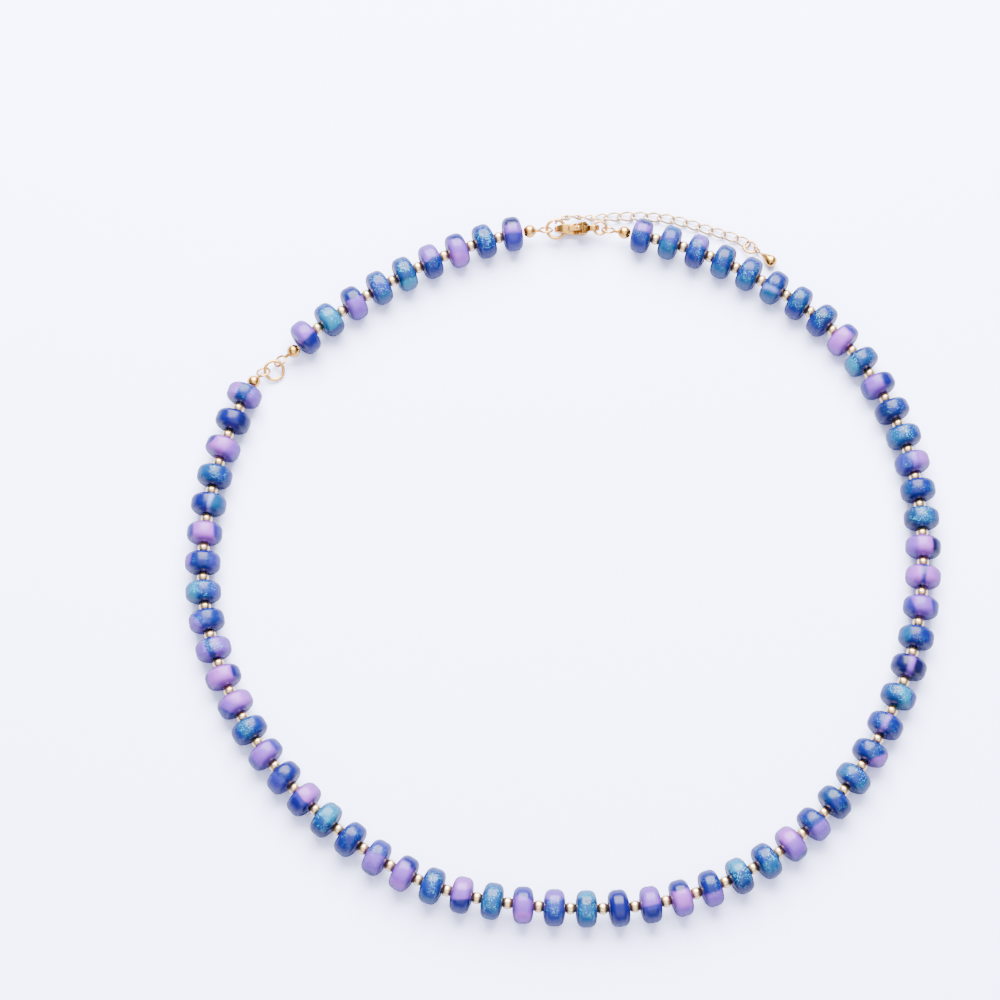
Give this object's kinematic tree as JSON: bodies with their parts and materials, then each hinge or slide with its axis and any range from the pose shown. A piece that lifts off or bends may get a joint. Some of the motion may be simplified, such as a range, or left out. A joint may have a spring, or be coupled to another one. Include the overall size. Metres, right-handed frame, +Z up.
{
  "type": "beaded necklace",
  "caption": "Closed necklace of glass rondelles and gold spacer balls lying flat, with jump rings, a sprung claw clasp, an extension chain and an end drop.",
  "frame": {"origin": "middle of the footprint, on the surface the necklace lies on", "axes": "+Z up from that surface, +Y towards the clasp, +X towards the chain's side"},
  "size_m": [0.1694, 0.17, 0.008],
  "materials": {
    "bead_glass": "glossy translucent two-tone glass, royal blue and lilac with teal ends",
    "warm_gold": "polished gold plating on brass",
    "pale_gold": "polished pale gold plating on brass"
  },
  "bodies": {
    "necklace": {"bead_string_right": "bead_glass", "bead_string_left": "bead_glass", "bead_string_short": "bead_glass", "bead_tip_clasp_short": "warm_gold", "bead_tip_clasp_long": "warm_gold", "bead_tip_side_short": "warm_gold", "bead_tip_side_long": "warm_gold", "side_joint_ring": "warm_gold", "claw_ring": "warm_gold", "tail_ring": "warm_gold", "drop_ring": "warm_gold", "clasp_body": "warm_gold", "end_drop": "warm_gold", "chain_link_01": "pale_gold", "chain_link_02": "pale_gold", "chain_link_03": "pale_gold", "chain_link_04": "pale_gold", "chain_link_05": "pale_gold", "chain_link_06": "pale_gold", "chain_link_07": "pale_gold", "chain_link_08": "pale_gold", "chain_link_09": "pale_gold", "chain_link_10": "pale_gold", "chain_link_11": "pale_gold", "chain_link_12": "pale_gold", "chain_link_13": "pale_gold", "chain_link_14": "pale_gold", "chain_link_15": "pale_gold"},
    "lever": {"clasp_lever": "warm_gold"}
  },
  "joints": [
    {"name": "clasp_lever_hinge", "type": "hinge", "parent": "necklace", "child": "lever", "pos_m": [0.0073, 0.07951, 0.00404], "axis": [0.0164, -0.9413, -0.3371], "range_deg": [0, 28], "stiffness_Nm_per_rad": 0.0035}
  ]
}
